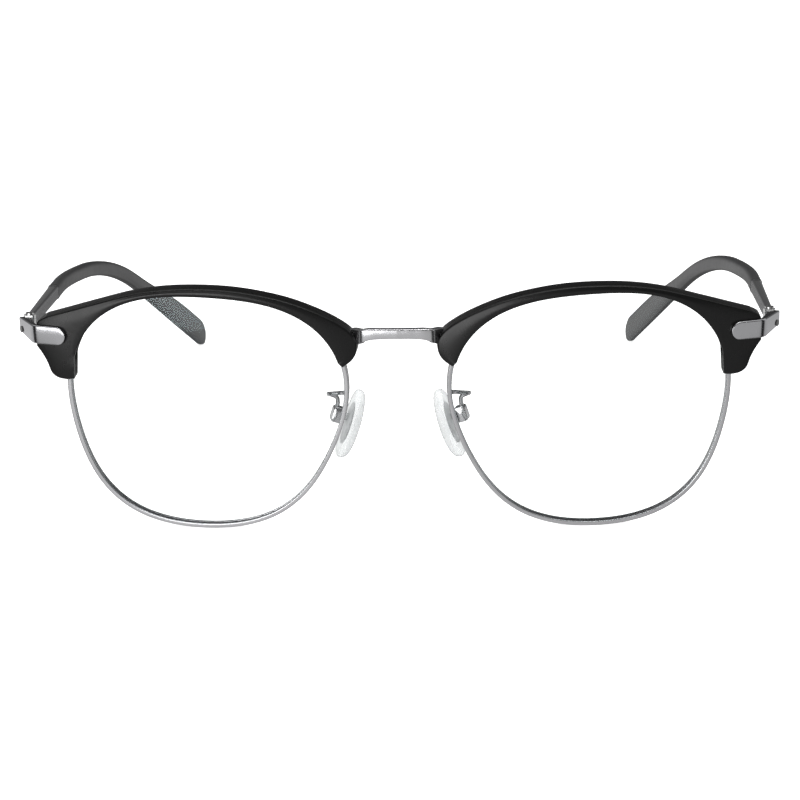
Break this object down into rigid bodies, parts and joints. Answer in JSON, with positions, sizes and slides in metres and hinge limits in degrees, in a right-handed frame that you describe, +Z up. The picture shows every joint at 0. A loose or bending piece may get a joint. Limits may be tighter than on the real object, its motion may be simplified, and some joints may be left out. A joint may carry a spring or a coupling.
{
  "type": "half rim eyeglasses",
  "caption": "Browline half rim eyeglasses: plastic brow pieces over full metal eyewires, clear lenses, metal bridge, hinged temples with curved sleeves and rocking nose pads.",
  "frame": {"origin": "bottom centre of the bounding box, on the surface the open glasses stand on", "axes": "+X towards the wearer's left, -Y out of the front of the lenses, +Z up"},
  "size_m": [0.1426, 0.1414, 0.0475],
  "materials": {
    "brow_plastic": "satin black moulded plastic with polished rounded edges",
    "sleeve_plastic": "satin dark grey moulded plastic",
    "rim_metal": "fine satin silver grey plating",
    "strap_metal": "polished gunmetal plating with softly bevelled edges",
    "small_metal": "turned steel",
    "dark_metal": "dark plated rivet",
    "lens_clear": "clear polished lens with a faint antireflection tint",
    "pad_silicone": "clear soft silicone, slightly frosted",
    "pad_core": "clear hard plastic core"
  },
  "bodies": {
    "front": {"bridge": "rim_metal", "eyewire_right": "rim_metal", "eyewire_left": "rim_metal", "lens_right": "lens_clear", "lens_left": "lens_clear", "brow_right": "brow_plastic", "brow_left": "brow_plastic", "endpiece_strap_right": "strap_metal", "endpiece_strap_left": "strap_metal", "brow_rivets_right": "small_metal", "brow_rivets_left": "small_metal", "strap_rivet_right": "dark_metal", "strap_rivet_left": "dark_metal", "closing_block_upper_right": "rim_metal", "closing_block_upper_left": "rim_metal", "closing_block_lower_right": "rim_metal", "closing_block_lower_left": "rim_metal", "closing_screw_right": "small_metal", "closing_screw_left": "small_metal", "front_hinge_right": "small_metal", "front_hinge_left": "small_metal", "hinge_screw_right": "small_metal", "hinge_screw_left": "small_metal", "pad_arm_right": "rim_metal", "pad_arm_left": "rim_metal", "pad_box_right": "rim_metal", "pad_box_left": "rim_metal", "pad_screw_right": "small_metal", "pad_screw_left": "small_metal"},
    "temple_right": {"temple_hinge_right": "small_metal", "temple_bar_right": "strap_metal", "temple_sleeve_right": "sleeve_plastic"},
    "pad_right": {"nose_pad_right": "pad_silicone", "pad_insert_right": "pad_core"},
    "temple_left": {"temple_hinge_left": "small_metal", "temple_bar_left": "strap_metal", "temple_sleeve_left": "sleeve_plastic"},
    "pad_left": {"nose_pad_left": "pad_silicone", "pad_insert_left": "pad_core"}
  },
  "joints": [
    {"name": "temple_left_fold", "type": "hinge", "parent": "front", "child": "temple_left", "pos_m": [0.0692, -0.05774, 0.03866], "axis": [0, 0.1045, 0.9945], "range_deg": [0, 79]},
    {"name": "temple_right_fold", "type": "hinge", "parent": "front", "child": "temple_right", "pos_m": [-0.0692, -0.05774, 0.03866], "axis": [0, -0.1045, -0.9945], "range_deg": [0, 66]},
    {"name": "pad_left_rock", "type": "hinge", "parent": "front", "child": "pad_left", "pos_m": [0.0118, -0.06054, 0.0209], "axis": [-0.2079, -0.9781, 0], "range_deg": [-10, 10]},
    {"name": "pad_right_rock", "type": "hinge", "parent": "front", "child": "pad_right", "pos_m": [-0.0118, -0.06054, 0.0209], "axis": [-0.2079, 0.9781, 0], "range_deg": [-10, 10]}
  ]
}
